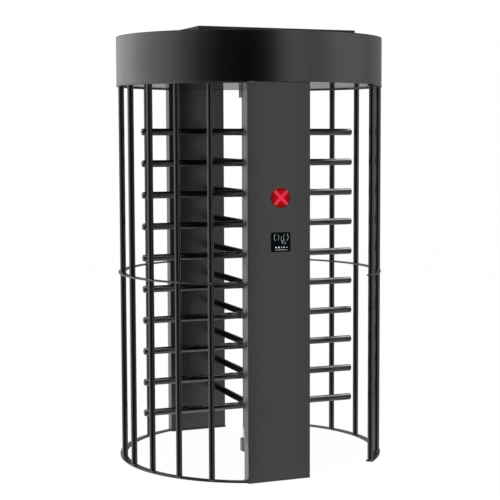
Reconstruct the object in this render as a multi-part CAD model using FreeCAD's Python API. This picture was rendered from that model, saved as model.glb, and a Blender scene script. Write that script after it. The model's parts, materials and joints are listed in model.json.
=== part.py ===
import FreeCAD, Part
import math
import os

# Full height turnstile: a round cage with two doorways, a four winged rotor and a drum shaped canopy.
# Millimetres, +Z up. The origin is on the rotor's axis at floor level. -Y is the front, and the
# doorways are on the +X side of the two posts.

Vec = FreeCAD.Vector

# Canopy drum, its floor and lid, and the low roof cover
canopy_radius = 731.5
canopy_bottom = 2052.0
canopy_height = 260.0
canopy_sheet = 2.0
canopy_floor_thickness = 3.0
canopy_floor_weld_gap = 0.6
lid_thickness = 2.0
lid_opening_x = 700.0
lid_opening_y = 680.0
roof_cover_size = 878.0
roof_cover_height = 29.0
roof_cover_sheet = 2.0

# Cage: flat bars rolled into arcs, with upright bars welded between them
ring_overhang = 1.5
ring_width = 38.5
ring_thickness = 6.5
mid_ring_height = 1026.0
bar_radius = 15.8
bar_setback = 20.5
left_bar_count = 8
closed_side_angle = 180.0
left_bar_angle_step = 15.2
right_bar_angle_step = 17.35
doorway_bar_angle = 43.4
right_ring_half_angle = 45.3

# Posts of folded sheet, each on its floor plate
post_centre_x = -100.4
post_width = 342.0
post_depth = 65.0
post_set_in = 15.0
post_sheet = 2.0
floor_plate_thickness = 8.0
floor_plate_ledge = 9.0
upstand_thickness = 5.0
upstand_width = 36.0
upstand_height = 50.0
anchor_hole_radius = 7.0
anchor_spacing = 260.0
cable_slot_length = 60.0
cable_slot_width = 12.0
cable_entry_length = 100.0
cable_entry_width = 34.0

# Rotor: a column with four wings of arms
column_radius = 43.5
column_wall = 3.0
column_bottom = 133.0
column_head_gap = 32.0
wing_count = 4
arm_count = 10
arm_radius = 19.0
arm_post_gap = 11.0
arm_head_gap = 253.0
arm_foot_gap = 129.7
arm_nose_length = 9.0
arm_nose_radius = 11.0
arm_weld_depth = 3.8
plug_length = 37.0
plug_clearance = 0.1

# Flats around each bar and arm: few, because there are more than fifty of them
bar_flats = 10

# Two equal bearings, in a cup on the floor and a cup under the canopy
cup_radius = 59.0
floor_cup_height = 67.0
head_cup_height = 63.0
bearing_radius = 45.0
bearing_height = 24.0
spindle_radius = 20.0
running_clearance = 0.05
thrust_gap = 0.3
shaft_hole_clearance = 5.0

# Head frame inside the canopy
channel_height = 60.0
channel_wall = 4.0
head_beam_width = 50.0
head_beam_length = 470.0
head_beam_ledge = 13.0
head_rail_width = 40.0
head_rail_offset = 150.0
lock_plate_x = 350.0
lock_plate_y = 390.0
lock_plate_thickness = 10.0

# Lock: a notched wheel on the shaft, and a pawl for each direction
lock_wheel_radius = 100.0
lock_wheel_thickness = 10.0
lock_wheel_gap = 2.0
notch_count = 8
notch_width = 30.0
notch_depth = 22.0
pawl_thickness = 12.0
pawl_bar_width = 18.0
pawl_pivot_x = 70.0
pawl_tip_width = 22.0
pawl_tip_draft = 3.0
pawl_tip_land = 11.0
pawl_tip_reach = 18.0
pawl_wheel_gap = 3.0
pawl_tail_length = 42.0
pawl_release_angle = 20.0
pivot_pin_radius = 8.0
pivot_pin_head = 4.0
drive_pin_radius = 3.0
drive_pin_length = 13.0
drive_pin_offset = 32.0
seat_gap = 0.3

# Solenoids with flat plungers
solenoid_x = 40.0
solenoid_y = 50.0
solenoid_z = 36.0
solenoid_pawl_gap = 23.0
solenoid_bore_depth = 45.0
plunger_width = 14.0
plunger_thickness = 8.0
plunger_lift = 2.0
plunger_length = 72.0
plunger_eye_overhang = 8.0
slide_clearance = 0.3

# Motor over the shaft, and the electrical boxes
motor_size = 96.0
motor_height = 90.0
motor_bore_depth = 45.0
bracket_span = 256.0
bracket_depth = 110.0
bracket_height = 65.0
bracket_wall = 6.0
bracket_shelf = 98.0
control_box_x = 200.0
control_box_y = 260.0
control_box_z = 90.0
power_supply_x = 120.0
power_supply_y = 220.0
power_supply_z = 60.0
box_offset = 400.0

# Signal lamp and card reader on the front post, one under the other
fittings_offset = 7.0
lamp_height = 1466.0
lamp_radius = 52.5
lamp_lens_thickness = 6.0
lamp_body_size = 68.0
lamp_body_depth = 38.0
lamp_body_clearance = 1.0
lamp_cross_length = 88.0
lamp_cross_width = 12.0
lamp_cross_thickness = 1.0
reader_drop = 226.0
reader_width = 105.0
reader_tall = 101.0
reader_thickness = 6.0
reader_corner_radius = 8.0
reader_glass_margin = 3.0
reader_glass_thickness = 1.0
reader_cable_hole = 30.0

# Heights and places that follow from the sizes above
ring_outer_radius = canopy_radius + ring_overhang
ring_inner_radius = ring_outer_radius - ring_width
cage_radius = ring_outer_radius - bar_setback
post_outer_face = cage_radius - post_set_in
post_inner_face = post_outer_face - post_depth
post_middle_y = (post_outer_face + post_inner_face) / 2
post_left = post_centre_x - post_width / 2
post_right = post_centre_x + post_width / 2
fittings_x = post_centre_x + fittings_offset
top_ring_bottom = canopy_bottom - ring_thickness
mid_ring_bottom = mid_ring_height - ring_thickness / 2
column_top = canopy_bottom - column_head_gap
arm_tip_radius = post_inner_face - arm_post_gap
arm_top_height = canopy_bottom - arm_head_gap
arm_pitch = (arm_top_height - column_bottom - arm_foot_gap) / (arm_count - 1)
head_beam_inner_face = post_inner_face - head_beam_ledge
drum_top = canopy_bottom + canopy_height - lid_thickness
canopy_floor_top = canopy_bottom + canopy_floor_thickness
channel_top = canopy_floor_top + channel_height
lock_plate_top = channel_top + lock_plate_thickness
pawl_bottom = lock_plate_top + seat_gap
pawl_top = pawl_bottom + pawl_thickness
pawl_line_y = lock_wheel_radius + pawl_wheel_gap + pawl_bar_width / 2
solenoid_start = pawl_line_y + solenoid_pawl_gap
plunger_bottom = pawl_top + plunger_lift
bracket_top = lock_plate_top + bracket_height
drive_pin_drop = drive_pin_offset * math.sin(math.radians(pawl_release_angle))
drive_pin_shift = drive_pin_offset * (1 - math.cos(math.radians(pawl_release_angle)))
plunger_x = pawl_pivot_x + drive_pin_offset - drive_pin_shift / 2
reader_height = lamp_height - reader_drop


def box(low, high):
    size = Vec(*high) - Vec(*low)
    return Part.makeBox(size.x, size.y, size.z, Vec(*low))


def cylinder(radius, bottom, top, x=0.0, y=0.0):
    return Part.makeCylinder(radius, top - bottom, Vec(x, y, bottom))


def face_of(points):
    corners = [Vec(*point) for point in points]
    return Part.Face(Part.makePolygon(corners + corners[:1]))


def turned(profile):
    """Revolve a profile of (radius, height) points about the rotor's axis."""
    face = face_of([(radius, 0, height) for radius, height in profile])
    return face.revolve(Vec(0, 0, 0), Vec(0, 0, 1), 360)


def turn(shape, degrees, centre=(0, 0, 0)):
    copy = shape.copy()
    copy.rotate(Vec(*centre), Vec(0, 0, 1), degrees)
    return copy


def mirror_y(shape):
    return shape.mirror(Vec(0, 0, 0), Vec(0, 1, 0))


def flat_section(radius, height):
    """Regular polygon across the Z axis, with its corners on the radius."""
    step = 2 * math.pi / bar_flats
    corners = [(radius * math.cos((k + 0.5) * step), radius * math.sin((k + 0.5) * step), height)
               for k in range(bar_flats)]
    return face_of(corners)


def upright_bar(degrees):
    """Bar on the cage circle at an angle from +X, in two lengths that meet at the middle ring."""
    lengths = []
    for bottom, top in ((ring_thickness, mid_ring_bottom),
                        (mid_ring_bottom + ring_thickness, top_ring_bottom)):
        length = flat_section(bar_radius, bottom).extrude(Vec(0, 0, top - bottom))
        length.translate(Vec(cage_radius, 0, 0))
        lengths.append(turn(length, degrees))
    return Part.Compound(lengths)


def ring_arc(bottom, start, sweep):
    base = Vec(0, 0, bottom)
    disc = Part.makeCylinder(ring_outer_radius, ring_thickness, base, Vec(0, 0, 1), sweep)
    disc = disc.cut(Part.makeCylinder(ring_inner_radius, ring_thickness, base))
    return turn(disc, start)


def left_bar_angles():
    first = closed_side_angle - left_bar_angle_step * (left_bar_count - 1) / 2
    return [first + k * left_bar_angle_step for k in range(left_bar_count)]


def right_bar_angles():
    half = right_bar_angle_step / 2
    return [-doorway_bar_angle, -3 * half, -half, half, 3 * half, doorway_bar_angle]


def left_ring(bottom):
    """Arc from post to post on the closed side, cut square against the posts."""
    ring = ring_arc(bottom, 90, 180)
    reach = cage_radius + ring_width
    waste = box((post_left, -reach, bottom), (reach, reach, bottom + ring_thickness))
    return ring.cut(waste)


def right_ring(bottom):
    return ring_arc(bottom, -right_ring_half_angle, 2 * right_ring_half_angle)


def cage():
    parts = {}
    for level, bottom in (("bottom", 0), ("mid", mid_ring_bottom), ("top", top_ring_bottom)):
        parts[f"{level}_rings"] = Part.Compound([left_ring(bottom), right_ring(bottom)])
    for side, angles in (("left", left_bar_angles()), ("right", right_bar_angles())):
        for number, angle in enumerate(angles, 1):
            parts[f"{side}_bar_{number}"] = upright_bar(angle)
    return parts


def rear_post():
    """Box of folded sheet, open at the foot, with a cable slot in its top."""
    inner = post_sheet
    shell = box((post_left, post_inner_face, floor_plate_thickness),
                (post_right, post_outer_face, canopy_bottom))
    hollow = box((post_left + inner, post_inner_face + inner, floor_plate_thickness),
                 (post_right - inner, post_outer_face - inner, canopy_bottom - inner))
    return shell.cut(hollow).cut(cable_slot(canopy_bottom - inner, canopy_bottom))


def cable_slot(bottom, top):
    """Slot midway between the head beam and the post's outer wall."""
    beam_edge = head_beam_inner_face + head_beam_width
    middle_y = (beam_edge + post_outer_face - post_sheet) / 2
    return box((post_centre_x - cable_slot_length / 2, middle_y - cable_slot_width / 2, bottom),
               (post_centre_x + cable_slot_length / 2, middle_y + cable_slot_width / 2, top))


def rear_floor_plate():
    """Plate with two anchor holes, a cable entry, and two upstands that hold the post's foot."""
    plate = box((post_left, post_inner_face - floor_plate_ledge, 0),
                (post_right, post_outer_face, floor_plate_thickness))
    for side in (-1, 1):
        hole_x = post_centre_x + side * anchor_spacing / 2
        plate = plate.cut(cylinder(anchor_hole_radius, 0, floor_plate_thickness, hole_x,
                                   post_middle_y))
    half_x = cable_entry_length / 2
    half_y = cable_entry_width / 2
    plate = plate.cut(box((post_centre_x - half_x, post_middle_y - half_y, 0),
                          (post_centre_x + half_x, post_middle_y + half_y, floor_plate_thickness)))
    top = floor_plate_thickness + upstand_height
    low_y = post_middle_y - upstand_width / 2
    high_y = post_middle_y + upstand_width / 2
    left = post_left + post_sheet
    right = post_right - post_sheet
    plate = plate.fuse(box((left, low_y, floor_plate_thickness),
                           (left + upstand_thickness, high_y, top)))
    return plate.fuse(box((right - upstand_thickness, low_y, floor_plate_thickness),
                          (right, high_y, top)))


def front_post():
    """The rear post's mirror image, with openings behind the lamp and the reader."""
    post = mirror_y(rear_post())
    lamp_half = lamp_body_size / 2 + lamp_body_clearance
    post = post.cut(front_window(lamp_height, lamp_half))
    return post.cut(front_window(reader_height, reader_cable_hole / 2))


def front_window(height, half):
    return box((fittings_x - half, -post_outer_face, height - half),
               (fittings_x + half, -post_outer_face + post_sheet, height + half))


def posts():
    return {
        "front_post": front_post(),
        "rear_post": rear_post(),
        "front_floor_plate": mirror_y(rear_floor_plate()),
        "rear_floor_plate": rear_floor_plate(),
    }


def canopy_drum():
    """Sheet rolled into a hoop."""
    hoop = cylinder(canopy_radius, canopy_bottom, drum_top)
    return hoop.cut(cylinder(canopy_radius - canopy_sheet, canopy_bottom, drum_top))


def canopy_floor():
    """Panel inside the drum's lower rim, with a hole for the shaft and a cable slot over each post."""
    radius = canopy_radius - canopy_sheet - canopy_floor_weld_gap
    panel = cylinder(radius, canopy_bottom, canopy_floor_top)
    shaft_hole = spindle_radius + shaft_hole_clearance
    panel = panel.cut(cylinder(shaft_hole, canopy_bottom, canopy_floor_top))
    slot = cable_slot(canopy_bottom, canopy_floor_top)
    return panel.cut(slot).cut(mirror_y(slot))


def canopy_lid():
    lid = cylinder(canopy_radius, drum_top, drum_top + lid_thickness)
    half_x = lid_opening_x / 2
    half_y = lid_opening_y / 2
    opening = box((-half_x, -half_y, drum_top), (half_x, half_y, drum_top + lid_thickness))
    return lid.cut(opening)


def roof_cover():
    """Shallow tray turned over the lid's opening."""
    bottom = drum_top + lid_thickness
    top = bottom + roof_cover_height
    half = roof_cover_size / 2
    inner = half - roof_cover_sheet
    tray = box((-half, -half, bottom), (half, half, top))
    return tray.cut(box((-inner, -inner, bottom), (inner, inner, top - roof_cover_sheet)))


def channel(width, length):
    """Channel along X, with its web on the -Y side and its foot on the canopy floor."""
    wall = channel_wall
    section = [(0, 0), (width, 0), (width, wall), (wall, wall), (wall, channel_height - wall),
               (width, channel_height - wall), (width, channel_height), (0, channel_height)]
    face = face_of([(-length / 2, y, canopy_floor_top + z) for y, z in section])
    return face.extrude(Vec(length, 0, 0))


def head_frame():
    rear_beam = channel(head_beam_width, head_beam_length)
    rear_beam.translate(Vec(0, head_beam_inner_face, 0))
    rail = turn(channel(head_rail_width, 2 * head_beam_inner_face), 90)
    right_rail = rail.copy()
    right_rail.translate(Vec(head_rail_offset + head_rail_width / 2, 0, 0))
    half_x = lock_plate_x / 2
    half_y = lock_plate_y / 2
    plate = box((-half_x, -half_y, channel_top), (half_x, half_y, lock_plate_top))
    shaft_hole = spindle_radius + shaft_hole_clearance
    return {
        "rear_head_beam": rear_beam,
        "front_head_beam": mirror_y(rear_beam),
        "right_head_rail": right_rail,
        "left_head_rail": turn(right_rail, 180),
        "lock_plate": plate.cut(cylinder(shaft_hole, channel_top, lock_plate_top)),
    }


def bearings():
    """Two cups, each with a bearing pressed into its bore."""
    floor_seat = floor_cup_height - bearing_height
    floor_cup = turned([(0, 0), (cup_radius, 0), (cup_radius, floor_cup_height),
                        (bearing_radius, floor_cup_height), (bearing_radius, floor_seat),
                        (0, floor_seat)])
    head_cup_bottom = canopy_bottom - head_cup_height
    head_cup = cylinder(cup_radius, head_cup_bottom, canopy_bottom)
    head_cup = head_cup.cut(cylinder(bearing_radius, head_cup_bottom, canopy_bottom))
    return {
        "bearing_cups": Part.Compound([floor_cup, head_cup]),
        "rotor_bearings": Part.Compound([bearing(floor_seat),
                                         bearing(canopy_bottom - bearing_height)]),
    }


def bearing(bottom):
    top = bottom + bearing_height
    bore = cylinder(spindle_radius + running_clearance, bottom, top)
    return cylinder(bearing_radius, bottom, top).cut(bore)


def faceted(rings):
    """Solid with flat sides through a row of matching polygons."""
    faces = [face_of(rings[0]), face_of(rings[-1])]
    for near, far in zip(rings, rings[1:]):
        for k in range(len(near)):
            faces.append(face_of([near[k - 1], near[k], far[k], far[k - 1]]))
    return Part.makeSolid(Part.makeShell(faces))


def arm(height):
    """Arm along +X, with a blunt nose and a root sunk to the weld in the column."""
    stations = [(column_radius - arm_weld_depth, arm_radius),
                (arm_tip_radius - arm_nose_length, arm_radius),
                (arm_tip_radius, arm_nose_radius)]
    step = 2 * math.pi / bar_flats
    angles = [(k + 0.5) * step for k in range(bar_flats)]
    rings = [[(along, radius * math.cos(angle), height + radius * math.sin(angle))
              for angle in angles] for along, radius in stations]
    return faceted(rings)


def rotor():
    tube = cylinder(column_radius, column_bottom, column_top)
    parts = {
        "rotor_column": tube.cut(cylinder(column_radius - column_wall, column_bottom, column_top)),
        "rotor_spindles": Part.Compound([foot_spindle(), head_spindle()]),
        "lock_wheel": lock_wheel(),
    }
    arms = [arm(arm_top_height - row * arm_pitch) for row in range(arm_count)]
    for number in range(wing_count):
        wing = Part.Compound([turn(bar, number * 360 / wing_count) for bar in arms])
        parts[f"wing_{number + 1}"] = wing
    return parts


def foot_spindle():
    """Turned foot: a spindle in the floor bearing, a shoulder as wide as the column, a plug."""
    plug_radius = column_radius - column_wall - plug_clearance
    end = floor_cup_height - bearing_height + thrust_gap
    shoulder = floor_cup_height + thrust_gap
    plug_top = column_bottom + plug_length
    return turned([(0, end), (spindle_radius, end), (spindle_radius, shoulder),
                   (column_radius, shoulder), (column_radius, column_bottom),
                   (plug_radius, column_bottom), (plug_radius, plug_top), (0, plug_top)])


def head_spindle():
    """Plug in the column's top, and the long shaft through the lock to the motor."""
    plug_radius = column_radius - column_wall - plug_clearance
    plug_bottom = column_top - plug_length
    end = bracket_top + motor_bore_depth - thrust_gap
    return turned([(0, plug_bottom), (plug_radius, plug_bottom), (plug_radius, column_top),
                   (spindle_radius, column_top), (spindle_radius, end), (0, end)])


def lock_wheel():
    bottom = lock_plate_top + lock_wheel_gap
    top = bottom + lock_wheel_thickness
    wheel = cylinder(lock_wheel_radius, bottom, top)
    wheel = wheel.cut(cylinder(spindle_radius, bottom, top))
    notch = box((-notch_width / 2, lock_wheel_radius - notch_depth, bottom),
                (notch_width / 2, lock_wheel_radius + notch_depth, top))
    for number in range(notch_count):
        wheel = wheel.cut(turn(notch, number * 360 / notch_count))
    return wheel


def rear_pawl():
    """Lever with a steep flank that blocks the wheel and a sloped flank that rides out."""
    low = pawl_line_y - pawl_bar_width / 2
    high = pawl_line_y + pawl_bar_width / 2
    tip_low = lock_wheel_radius - pawl_tip_reach
    tip_left = -pawl_tip_width / 2
    land_start = tip_left + pawl_tip_draft
    outline = [(land_start, tip_low), (land_start + pawl_tip_land, tip_low),
               (-tip_left + pawl_wheel_gap, low), (pawl_pivot_x + pawl_tail_length, low),
               (pawl_pivot_x + pawl_tail_length, high), (tip_left, high), (tip_left, low)]
    pawl = face_of([(x, y, pawl_bottom) for x, y in outline]).extrude(Vec(0, 0, pawl_thickness))
    pawl = pawl.cut(cylinder(pivot_pin_radius + running_clearance, pawl_bottom, pawl_top,
                             pawl_pivot_x, pawl_line_y))
    pin = cylinder(drive_pin_radius, pawl_top, pawl_top + drive_pin_length,
                   pawl_pivot_x + drive_pin_offset, pawl_line_y)
    return turn(pawl.fuse(pin), -pawl_release_angle, (pawl_pivot_x, pawl_line_y, 0))


def rear_plunger():
    """Flat plunger with a cross slot for the pawl's pin."""
    pin_y = pawl_line_y - drive_pin_drop
    half = plunger_width / 2
    start = pin_y - drive_pin_radius - plunger_eye_overhang
    top = plunger_bottom + plunger_thickness
    plunger = box((plunger_x - half, start, plunger_bottom),
                  (plunger_x + half, start + plunger_length, top))
    slot_x = drive_pin_radius + drive_pin_shift / 2 + slide_clearance
    slot_y = drive_pin_radius + slide_clearance
    return plunger.cut(box((plunger_x - slot_x, pin_y - slot_y, plunger_bottom),
                           (plunger_x + slot_x, pin_y + slot_y, top)))


def rear_solenoid():
    top = lock_plate_top + solenoid_z
    body = box((plunger_x - solenoid_x / 2, solenoid_start, lock_plate_top),
               (plunger_x + solenoid_x / 2, solenoid_start + solenoid_y, top))
    half = plunger_width / 2 + slide_clearance
    low = plunger_bottom - slide_clearance
    high = plunger_bottom + plunger_thickness + slide_clearance
    return body.cut(box((plunger_x - half, solenoid_start, low),
                        (plunger_x + half, solenoid_start + solenoid_bore_depth, high)))


def lock():
    pin = cylinder(pivot_pin_radius, lock_plate_top, pawl_top + pivot_pin_head,
                   pawl_pivot_x, pawl_line_y)
    return {
        "exit_pawl": rear_pawl(),
        "entry_pawl": mirror_y(rear_pawl()),
        "exit_plunger": rear_plunger(),
        "entry_plunger": mirror_y(rear_plunger()),
        "exit_solenoid": rear_solenoid(),
        "entry_solenoid": mirror_y(rear_solenoid()),
        "pawl_pins": Part.Compound([pin, mirror_y(pin)]),
    }


def drive():
    half = motor_size / 2
    motor = box((-half, -half, bracket_top), (half, half, bracket_top + motor_height))
    bore = cylinder(spindle_radius + running_clearance, bracket_top,
                    bracket_top + motor_bore_depth)
    return {
        "motor_brackets": Part.Compound([motor_bracket(), turn(motor_bracket(), 180)]),
        "gear_motor": motor.cut(bore),
        "control_box": box_on_floor(control_box_x, control_box_y, control_box_z, -box_offset),
        "power_supply": box_on_floor(power_supply_x, power_supply_y, power_supply_z, box_offset),
    }


def motor_bracket():
    """Bent bracket that carries one edge of the motor clear of the lock wheel."""
    outer = bracket_span / 2
    section = [(outer, lock_plate_top), (outer, bracket_top), (outer - bracket_shelf, bracket_top),
               (outer - bracket_shelf, bracket_top - bracket_wall),
               (outer - bracket_wall, bracket_top - bracket_wall),
               (outer - bracket_wall, lock_plate_top)]
    face = face_of([(x, -bracket_depth / 2, z) for x, z in section])
    return face.extrude(Vec(0, bracket_depth, 0))


def box_on_floor(along_x, along_y, tall, centre_x):
    return box((centre_x - along_x / 2, -along_y / 2, canopy_floor_top),
               (centre_x + along_x / 2, along_y / 2, canopy_floor_top + tall))


def front_disc(radius, depth, centre_z):
    return Part.makeCylinder(radius, depth, Vec(fittings_x, -post_outer_face, centre_z),
                             Vec(0, -1, 0))


def front_block(width, tall, start, end, centre_z):
    """Block on the front post that runs from one distance in front of its face to another."""
    return box((fittings_x - width / 2, -post_outer_face - end, centre_z - tall / 2),
               (fittings_x + width / 2, -post_outer_face - start, centre_z + tall / 2))


def signal_lamp():
    face = lamp_lens_thickness
    bar = front_block(lamp_cross_length, lamp_cross_width, face, face + lamp_cross_thickness,
                      lamp_height)
    centre = Vec(fittings_x, 0, lamp_height)
    strokes = []
    for degrees in (45, -45):
        stroke = bar.copy()
        stroke.rotate(centre, Vec(0, 1, 0), degrees)
        strokes.append(stroke)
    return {
        "lamp_body": front_block(lamp_body_size, lamp_body_size, -lamp_body_depth, 0, lamp_height),
        "lamp_lens": front_disc(lamp_radius, lamp_lens_thickness, lamp_height),
        "lamp_cross": strokes[0].fuse(strokes[1]).removeSplitter(),
    }


def card_reader():
    housing = front_block(reader_width, reader_tall, 0, reader_thickness, reader_height)
    corners = [edge for edge in housing.Edges if edge.tangentAt(0).y != 0]
    margin = 2 * reader_glass_margin
    return {
        "reader_housing": housing.makeFillet(reader_corner_radius, corners),
        "reader_glass": front_block(reader_width - margin, reader_tall - margin, reader_thickness,
                                    reader_thickness + reader_glass_thickness, reader_height),
    }


def main():
    os.makedirs("parts", exist_ok=True)
    parts = {}
    for group in (cage(), posts(), head_frame(), bearings(), rotor(), lock(), drive(),
                  signal_lamp(), card_reader()):
        parts.update(group)
    parts["canopy_drum"] = canopy_drum()
    parts["canopy_floor"] = canopy_floor()
    parts["canopy_lid"] = canopy_lid()
    parts["roof_cover"] = roof_cover()
    for name, shape in parts.items():
        shape.exportStep(f"parts/{name}.step")
    print(len(parts), "parts")


main()
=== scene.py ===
# %% [markdown]
# A full height turnstile is a round cage with two doorways. A column with four wings of arms
# turns in the middle of it, and a drum on top holds the lock. The engineering model gives every
# piece its place. This script loads that model as a fixed frame and dresses it: round tubes,
# welds, bent edges, fasteners and finishes. All sizes are in metres, +Z is up and -Y is the
# front.

# %% Load the frame
import json
import math

import bmesh
import bpy
from mathutils import Matrix, Vector


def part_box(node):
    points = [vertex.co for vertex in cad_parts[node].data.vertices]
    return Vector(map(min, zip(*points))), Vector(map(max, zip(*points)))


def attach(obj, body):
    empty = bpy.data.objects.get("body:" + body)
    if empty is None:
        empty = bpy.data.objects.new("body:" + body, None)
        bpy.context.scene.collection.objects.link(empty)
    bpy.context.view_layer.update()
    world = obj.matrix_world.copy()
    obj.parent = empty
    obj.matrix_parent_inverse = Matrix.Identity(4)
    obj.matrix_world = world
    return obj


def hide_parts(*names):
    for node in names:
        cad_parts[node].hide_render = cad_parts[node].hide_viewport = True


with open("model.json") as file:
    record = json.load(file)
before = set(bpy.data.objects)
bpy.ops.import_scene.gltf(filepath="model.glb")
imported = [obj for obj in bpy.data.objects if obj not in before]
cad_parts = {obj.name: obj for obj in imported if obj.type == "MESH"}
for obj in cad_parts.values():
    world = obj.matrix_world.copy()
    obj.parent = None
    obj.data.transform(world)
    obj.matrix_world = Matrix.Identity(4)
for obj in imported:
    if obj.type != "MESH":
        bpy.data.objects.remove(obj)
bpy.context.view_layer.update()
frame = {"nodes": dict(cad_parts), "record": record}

# %% [markdown]
# The camera comes first, because everything else is judged through it. A long lens far away keeps
# the tubes nearly parallel. The object stands left of the lens axis, so the lens is shifted
# sideways instead of turned: a turn would make the posts lean.

# %% Camera
camera_place = Vector((-2.6460, -7.0910, 1.8004))
camera_looks = Vector((0.383047, 0.919566, -0.087595))

camera_data = bpy.data.cameras.new("camera")
camera_data.lens = 97.50
camera_data.sensor_width = 36.0
camera_data.shift_x = -0.1014
camera_data.shift_y = 0.0016
camera = bpy.data.objects.new("camera", camera_data)
camera.location = camera_place
camera.rotation_mode = "QUATERNION"
camera.rotation_quaternion = camera_looks.to_track_quat("-Z", "Y")
bpy.context.scene.collection.objects.link(camera)
bpy.context.scene.camera = camera
bpy.context.scene.view_settings.view_transform = "Standard"
print("camera is", round(camera_place.length, 2), "m from the rotor's foot")

# %% [markdown]
# Every finish starts from the Principled shader, and what is the same all over a surface is set
# on the shader's own sockets. The rest is nodes, so one helper makes a finish, one adds a node
# together with its inputs, and one adds a sum or a product.

# %% Helpers for nodes
def new_finish(name, colour, metallic, roughness, ior=1.5):
    material = bpy.data.materials.new(name)
    material.use_nodes = True
    shader = material.node_tree.nodes["Principled BSDF"]
    shader.inputs["Base Color"].default_value = (*colour, 1.0)
    shader.inputs["Metallic"].default_value = metallic
    shader.inputs["Roughness"].default_value = roughness
    shader.inputs["IOR"].default_value = ior
    return material, shader


def add_node(owner, kind, **inputs):
    """Add a node to a material or world, and give its named inputs a number or a link each."""
    node = owner.node_tree.nodes.new("ShaderNode" + kind)
    for name, value in inputs.items():
        socket = node.inputs[name.replace("_", " ")]
        if isinstance(value, bpy.types.NodeSocket):
            owner.node_tree.links.new(value, socket)
        else:
            socket.default_value = value
    return node


def math_node(owner, operation, first, second=None):
    """Combine two values, each a number or a link."""
    node = add_node(owner, "Math")
    node.operation = operation
    for socket, value in zip(node.inputs, (first, second)):
        if isinstance(value, float):
            socket.default_value = value
        elif value is not None:
            owner.node_tree.links.new(value, socket)
    return node.outputs["Value"]


print("every finish starts from the Principled shader")

# %% [markdown]
# Patterns read Object coordinates, so they are fixed to the metal and keep their real size, in
# lines per metre. The values of a noise crowd round its middle, so it is spread over the range
# that is wanted before it drives a roughness or a blend of two colours.

# %% Helpers for patterns
def object_place(material, kind="POINT", **settings):
    """Object coordinates, moved, turned or scaled by a Mapping node."""
    place = add_node(material, "TexCoord").outputs["Object"]
    mapping = add_node(material, "Mapping", Vector=place, **settings)
    mapping.vector_type = kind
    return mapping.outputs["Vector"]


def noise(material, scale, detail=2.0, stretch=(1.0, 1.0, 1.0)):
    """Noise fixed to the piece. A stretch under 1 draws it out along that axis."""
    place = object_place(material, Scale=stretch)
    return add_node(material, "TexNoise", Vector=place, Scale=scale, Detail=detail).outputs["Fac"]


def map_range(owner, value, **limits):
    return add_node(owner, "MapRange", Value=value, **limits).outputs["Result"]


noise_floor, noise_ceiling = 0.3, 0.7


def spread(material, value, low, high):
    """Stretch the middle of a noise over the range from low to high."""
    return map_range(material, value, From_Min=noise_floor, From_Max=noise_ceiling,
                     To_Min=low, To_Max=high)


def uneven(material, shader, value, low, high):
    """Let the roughness follow a noise, from low to high."""
    shine = spread(material, value, low, high)
    material.node_tree.links.new(shine, shader.inputs["Roughness"])


def bump(material, shader, height, depth):
    node = add_node(material, "Bump", Height=height, Distance=depth)
    material.node_tree.links.new(node.outputs["Normal"], shader.inputs["Normal"])


def tint(material, shader, factor, colour, other, socket="Base Color"):
    """Blend the shader's colour from one colour to another."""
    node = add_node(material, "Mix")
    node.data_type = "RGBA"
    node.inputs["A"].default_value = (*colour, 1.0)
    node.inputs["B"].default_value = (*other, 1.0)
    material.node_tree.links.new(factor, node.inputs["Factor"])
    material.node_tree.links.new(node.outputs["Result"], shader.inputs[socket])


print("a noise is spread from", noise_floor, "to", noise_ceiling)

# %% [markdown]
# The cage, posts, canopy and rotor are powder coated. Such a coat is nearly black, with a clear
# skin that mirrors the room a little and much more at a slant, so it is the reflections that give
# it its greys. Up close it has an orange peel about 3 mm across, and shoes leave pale dust near
# the floor. The dust thins out with height, so the share of it is a ramp over Z times a blotchy
# noise. The powder flows out smoothest on the thin tubes, whose black is a darker copy of the
# coat's black: painted shade, which keeps their lit cores dark. The rear post and the rings get a
# rougher satin coat whose black is a lighter copy: painted light, which makes them read brighter.
# The roof has a duller coat that doesn't dazzle from above.

# %% Powder coat
dust = (0.01, 0.0096, 0.0092)
dust_height = 0.16
dust_share = (0.1, 0.6)
smoother, rougher = 0.03, 0.04


def powder_coat(name, colour, roughness, peel_depth, ior=1.8):
    material, shader = new_finish(name, colour, 0.0, roughness, ior=ior)
    wear = noise(material, scale=7.0, detail=5.0)
    uneven(material, shader, wear, roughness - smoother, roughness + rougher)
    bump(material, shader, noise(material, scale=330.0, detail=1.0), peel_depth)
    split = add_node(material, "SeparateXYZ", Vector=object_place(material))
    near_floor = map_range(material, split.outputs["Z"], From_Min=dust_height, From_Max=0.0)
    blotches = spread(material, noise(material, scale=26.0, detail=6.0), *dust_share)
    tint(material, shader, math_node(material, "MULTIPLY", near_floor, blotches), colour, dust)
    return material


black = (0.0018, 0.0019, 0.0021)
# painted shade: a darker copy of the black, for the tubes, arms and welds
painted_shade_tube_black = (0.0008, 0.0008, 0.0009)
canopy_black = (0.0012, 0.0012, 0.0013)
# painted light: a lighter copy of the black, for the rear post and the rings
painted_light_black = (0.0042, 0.0043, 0.0046)
roof_black = (0.008, 0.008, 0.0085)
black_coat = powder_coat("black_coat", black, roughness=0.12, peel_depth=0.000008)
painted_shade_tube_coat = powder_coat("painted_shade_tube_coat", painted_shade_tube_black, roughness=0.17, peel_depth=0.000002, ior=1.72)
post_coat = powder_coat("post_coat", black, roughness=0.16, peel_depth=0.00001)
satin_painted_light_coat = powder_coat("satin_painted_light_coat", painted_light_black, roughness=0.3, peel_depth=0.00002)
canopy_coat = powder_coat("canopy_coat", canopy_black, roughness=0.15, peel_depth=0.000012)
roof_coat = powder_coat("roof_coat", roof_black, roughness=0.5, peel_depth=0.00004, ior=1.3)
ceiling_coat = powder_coat("ceiling_coat", black, roughness=0.1, peel_depth=0.000008)
print("powder coats from", black_coat.name, "to", ceiling_coat.name)

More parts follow.
